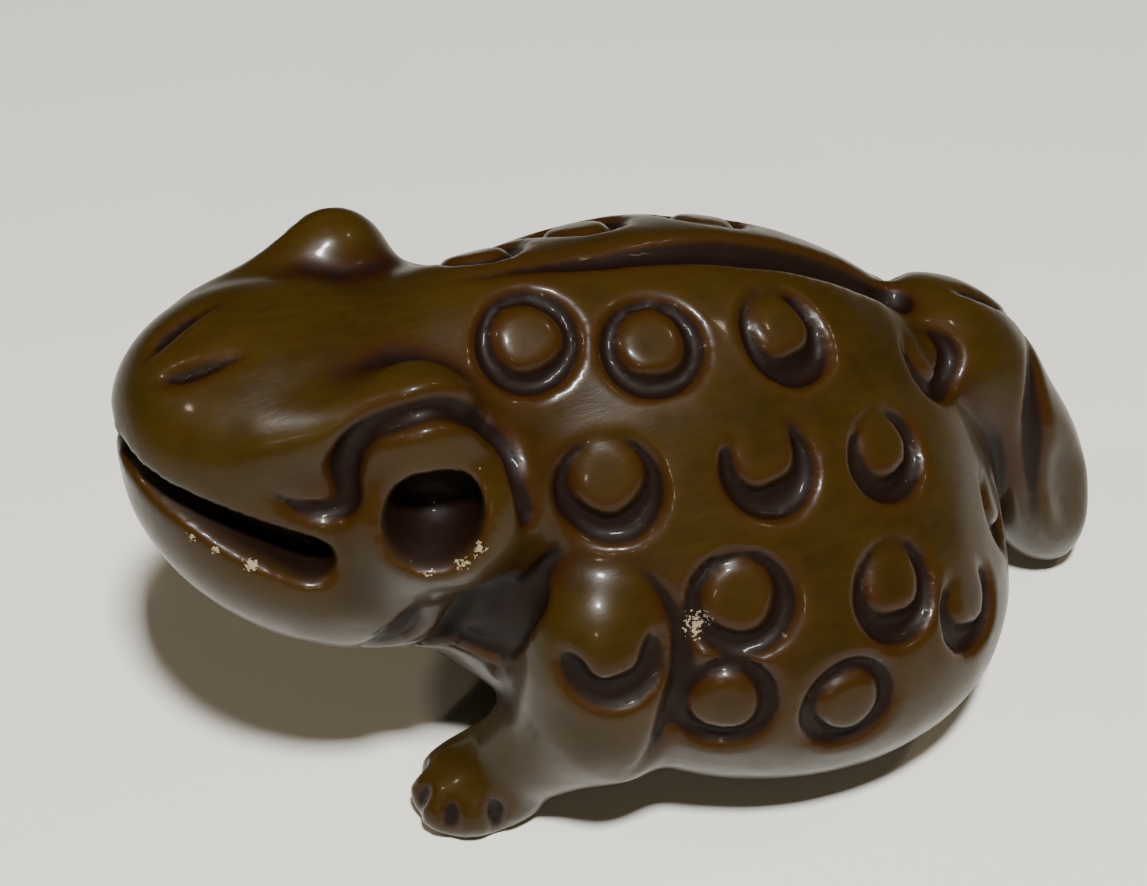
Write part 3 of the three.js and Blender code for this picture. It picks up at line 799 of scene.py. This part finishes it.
def lacquered_wood(finish):
    """Stained wood under clear lacquer: dark in the recesses, redder round them, and paler on the edges, a
    painted highlight that also stands for wear.
    """
    material = bpy.data.materials.new("Lacquered carved wood")
    material.use_nodes = True
    tree = material.node_tree
    shader = tree.nodes["Principled BSDF"]
    place = add_node(tree, "ShaderNodeTexCoord").outputs["Object"]
    grain = add_node(tree, "ShaderNodeGroup")
    grain.node_tree = grain_group()
    tree.links.new(place, grain.inputs["Vector"])
    masks = {}
    for name in ("stain", "halo", "edge", "chip"):
        masks[name] = add_node(tree, "ShaderNodeAttribute", attribute_name=name).outputs["Fac"]
    cloud = noise_value(tree, place, CLOUD_WAVES, detail=4)
    grit = noise_value(tree, place, GRIT_WAVES, detail=2)

    # Where the warm ring round a recess, the dark stain and the chips lie, each with a ragged border.
    halo = spread(tree, plus(tree, masks["halo"], scaled(tree, cloud, 0.5)), 0.28, 0.8)
    dark = spread(tree, plus(tree, masks["stain"], scaled(tree, cloud, 0.5)), 0.45, 0.95)
    chips = spread(tree, plus(tree, masks["chip"], scaled(tree, grit, 1.6)), 1.38, 1.44)

    wood = mixed(tree, grain.outputs["Mottle"], finish.wood[:], [0.62 * c for c in finish.wood])
    wood = mixed(tree, scaled(tree, grain.outputs["Pores"], 0.35), wood, finish.warm[:])
    wood = mixed(tree, scaled(tree, halo, 0.85), wood, finish.warm[:])
    wood = mixed(tree, dark, wood, finish.stain[:])
    # Painted highlight: convex edges lighter than the wood, partly standing for wear.
    wood = mixed(tree, scaled(tree, masks["edge"], 0.25), wood, [1.5 * c for c in finish.wood])
    wood = mixed(tree, chips, wood, finish.chip[:])
    tree.links.new(wood, shader.inputs["Base Color"])

    # Recesses and chips are duller than the polished skin, and the lacquer is thinner in the recesses.
    gloss = spread(tree, cloud, 0.3, 0.75, 0.3, 0.44)
    dull = scaled(tree, math_value(tree, "MAXIMUM", dark, chips), 0.2)
    tree.links.new(plus(tree, gloss, dull), shader.inputs["Roughness"])
    coat = math_value(tree, "SUBTRACT", 0.26, scaled(tree, dark, 0.17))
    tree.links.new(coat, shader.inputs["Coat Weight"])
    shader.inputs["Coat Roughness"].default_value = 0.11
    shader.inputs["Coat IOR"].default_value = 1.3
    shader.inputs["Specular IOR Level"].default_value = 0.12

    bump = add_node(tree, "ShaderNodeBump")
    bump.inputs["Strength"].default_value = 0.08
    bump.inputs["Distance"].default_value = 0.00012
    tree.links.new(grain.outputs["Height"], bump.inputs["Height"])
    tree.links.new(bump.outputs["Normal"], shader.inputs["Normal"])
    return material


def pale_floor(colour):
    """Plain satin surface of one colour."""
    material = bpy.data.materials.new("Pale floor")
    material.use_nodes = True
    shader = material.node_tree.nodes["Principled BSDF"]
    shader.inputs["Base Color"].default_value = (*colour, 1)
    shader.inputs["Roughness"].default_value = 0.35
    return material


def lay_floor(context, look, length):
    """A wide flat floor at the toad's feet."""
    bm = bmesh.new()
    bmesh.ops.create_grid(bm, x_segments=1, y_segments=1, size=FLOOR_REACH * length)
    mesh = bpy.data.meshes.new("floor")
    bm.to_mesh(mesh)
    bm.free()
    mesh.materials.append(pale_floor(look.floor[:]))
    floor = bpy.data.objects.new("floor", mesh)
    context.scene.collection.objects.link(floor)
    return floor


def aim_camera(context, aim, length):
    """The camera at the photograph's angle, with the aiming point where the photograph has it."""
    azimuth, elevation = math.radians(CAMERA_AZIMUTH), math.radians(CAMERA_ELEVATION)
    back = Vector((math.sin(azimuth) * math.cos(elevation), -math.cos(azimuth) * math.cos(elevation),
                   math.sin(elevation)))
    camera = bpy.data.cameras.new("camera")
    camera.lens = CAMERA_LENS
    camera.sensor_width = CAMERA_SENSOR
    camera.clip_start = NEAREST_SEEN
    camera.shift_x = (IMAGE_SIZE[0] / 2 - AIM_PIXEL[0]) / IMAGE_SIZE[0]
    camera.shift_y = (AIM_PIXEL[1] - IMAGE_SIZE[1] / 2) / IMAGE_SIZE[0]
    viewer = bpy.data.objects.new("camera", camera)
    viewer.location = aim + back * CAMERA_DISTANCE * length
    viewer.rotation_euler = back.to_track_quat("Z", "Y").to_euler()
    context.scene.collection.objects.link(viewer)
    context.scene.camera = viewer


def hang_lights(context, look, aim):
    """An overhead key light, small lamps before and behind the toad, and a fill light by the camera."""
    lights = (
        ("key", (0.2, -0.05, 0.46), 0.045, look.key_power, WHITE_LIGHT),
        ("front", (-0.06, -0.33, 0.4), 0.028, FRONT_SHARE * look.key_power, WARM_LIGHT),
        ("rear", (0.06, 0.33, 0.42), 0.028, REAR_SHARE * look.key_power, WARM_LIGHT),
        ("fill", (0.42, -0.17, 0.27), 0.025, look.fill_power, WARM_LIGHT),
    )
    for name, spot, size, power, tint in lights:
        lamp = bpy.data.lights.new(name, "AREA")
        lamp.shape = "SQUARE"
        lamp.size = size
        lamp.energy = power
        lamp.color = tint
        holder = bpy.data.objects.new(name, lamp)
        holder.location = spot
        holder.rotation_euler = (holder.location - aim).to_track_quat("Z", "Y").to_euler()
        context.scene.collection.objects.link(holder)


def dim_room(context, look):
    """The faint warm light that the surrounding room gives."""
    world = bpy.data.worlds.new("room")
    world.use_nodes = True
    background = world.node_tree.nodes["Background"]
    background.inputs["Color"].default_value = (*ROOM_TINT, 1)
    background.inputs["Strength"].default_value = look.ambient
    context.scene.world = world


class OBJECT_OT_carve_toad(bpy.types.Operator):
    """Carve the toad and give it its lacquered wood"""

    bl_idname = "object.carve_toad"
    bl_label = "Carve Toad"

    def execute(self, context):
        mesh = carve_toad(context.scene.toad_sizes)
        mesh.name = "carved_toad"
        mesh.materials.clear()
        mesh.materials.append(lacquered_wood(context.scene.toad_finish))
        toad = bpy.data.objects.new("carved_toad", mesh)
        context.scene.collection.objects.link(toad)
        if len(mesh.polygons) == 0:
            raise RuntimeError("the toad's skin came out empty")
        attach(toad, BODY)
        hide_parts(NODE)
        return {"FINISHED"}


class OBJECT_OT_set_toad_stage(bpy.types.Operator):
    """Set the floor, the lights and the camera"""

    bl_idname = "object.set_toad_stage"
    bl_label = "Set Stage"

    def execute(self, context):
        look = context.scene.toad_stage
        length = context.scene.toad_sizes.length
        aim = Vector([share * length for share in CAMERA_AIM])
        floor = lay_floor(context, look, length)
        aim_camera(context, aim, length)
        hang_lights(context, look, aim)
        dim_room(context, look)
        return {"FINISHED"}


class VIEW3D_PT_toad(bpy.types.Panel):
    """The toad's sizes, colours and steps"""

    bl_label = "Carved Toad"
    bl_idname = "VIEW3D_PT_toad"
    bl_space_type = "VIEW_3D"
    bl_region_type = "UI"
    bl_category = "Toad"

    def draw(self, context):
        for settings, operator in (("toad_sizes", OBJECT_OT_carve_toad), ("toad_finish", None),
                                   ("toad_stage", OBJECT_OT_set_toad_stage)):
            group = getattr(context.scene, settings)
            column = self.layout.column()
            for name in group.bl_rna.properties.keys():
                if name not in ("rna_type", "name"):
                    column.prop(group, name)
            if operator:
                column.operator(operator.bl_idname)


CLASSES = (ToadSizes, WoodFinish, StageLook, OBJECT_OT_carve_toad, OBJECT_OT_set_toad_stage, VIEW3D_PT_toad)


def register():
    for cls in CLASSES:
        bpy.utils.register_class(cls)
    bpy.types.Scene.toad_sizes = bpy.props.PointerProperty(type=ToadSizes)
    bpy.types.Scene.toad_finish = bpy.props.PointerProperty(type=WoodFinish)
    bpy.types.Scene.toad_stage = bpy.props.PointerProperty(type=StageLook)


def unregister():
    del bpy.types.Scene.toad_stage
    del bpy.types.Scene.toad_finish
    del bpy.types.Scene.toad_sizes
    for cls in reversed(CLASSES):
        bpy.utils.unregister_class(cls)


def main():
    register()
    bpy.ops.object.carve_toad()
    bpy.ops.object.set_toad_stage()


if __name__ == "__main__":
    main()
